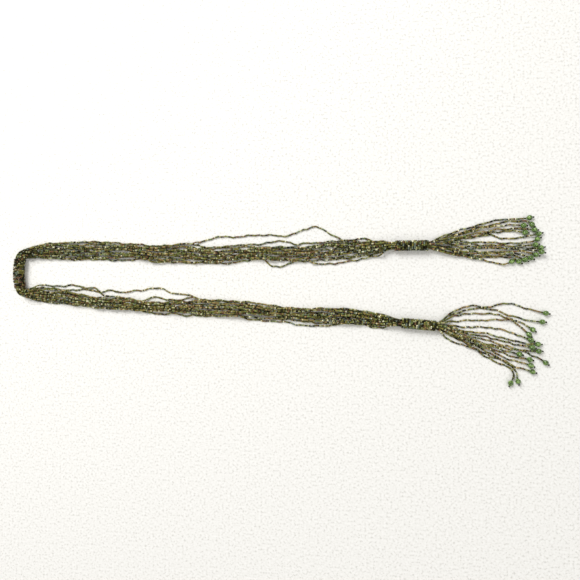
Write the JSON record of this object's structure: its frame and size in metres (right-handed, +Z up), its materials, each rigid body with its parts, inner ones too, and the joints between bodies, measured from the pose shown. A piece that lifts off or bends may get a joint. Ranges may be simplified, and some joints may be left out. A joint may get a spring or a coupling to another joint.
{
  "type": "beaded belt",
  "caption": "Long strand belt of small glass seed beads with beaded wraps at its middle and near its ends, and tassels tipped with green glass beads, folded in half and laid flat.",
  "frame": {"origin": "centre of the belt's box as it lies folded in half, on the surface below it", "axes": "+X from the fold towards the tassels, +Y across from the lower half to the upper half, +Z up from the surface"},
  "size_m": [0.8698, 0.2598, 0.0152],
  "materials": {
    "seed_beads": "opaque and lustred glass seed beads in mixed olive, brown, amber and grey green",
    "wrap_beads": "opaque glass seed beads wound close, darker green, brown and black",
    "end_beads": "polished translucent leaf green glass"
  },
  "bodies": {
    "root": {"centre_sleeve": "wrap_beads", "upper_strands": "seed_beads", "lower_strands": "seed_beads", "upper_collar": "wrap_beads", "lower_collar": "wrap_beads", "upper_tassel": "seed_beads", "lower_tassel": "seed_beads", "upper_end_bead_01": "end_beads", "upper_end_bead_02": "end_beads", "upper_end_bead_03": "end_beads", "upper_end_bead_04": "end_beads", "upper_end_bead_05": "end_beads", "upper_end_bead_06": "end_beads", "upper_end_bead_07": "end_beads", "upper_end_bead_08": "end_beads", "upper_end_bead_09": "end_beads", "upper_end_bead_10": "end_beads", "upper_end_bead_11": "end_beads", "upper_end_bead_12": "end_beads", "upper_end_bead_13": "end_beads", "upper_end_bead_14": "end_beads", "upper_end_bead_15": "end_beads", "lower_end_bead_01": "end_beads", "lower_end_bead_02": "end_beads", "lower_end_bead_03": "end_beads", "lower_end_bead_04": "end_beads", "lower_end_bead_05": "end_beads", "lower_end_bead_06": "end_beads", "lower_end_bead_07": "end_beads", "lower_end_bead_08": "end_beads", "lower_end_bead_09": "end_beads", "lower_end_bead_10": "end_beads", "lower_end_bead_11": "end_beads", "lower_end_bead_12": "end_beads", "lower_end_bead_13": "end_beads", "lower_end_bead_14": "end_beads", "lower_end_bead_15": "end_beads"}
  },
  "joints": []
}
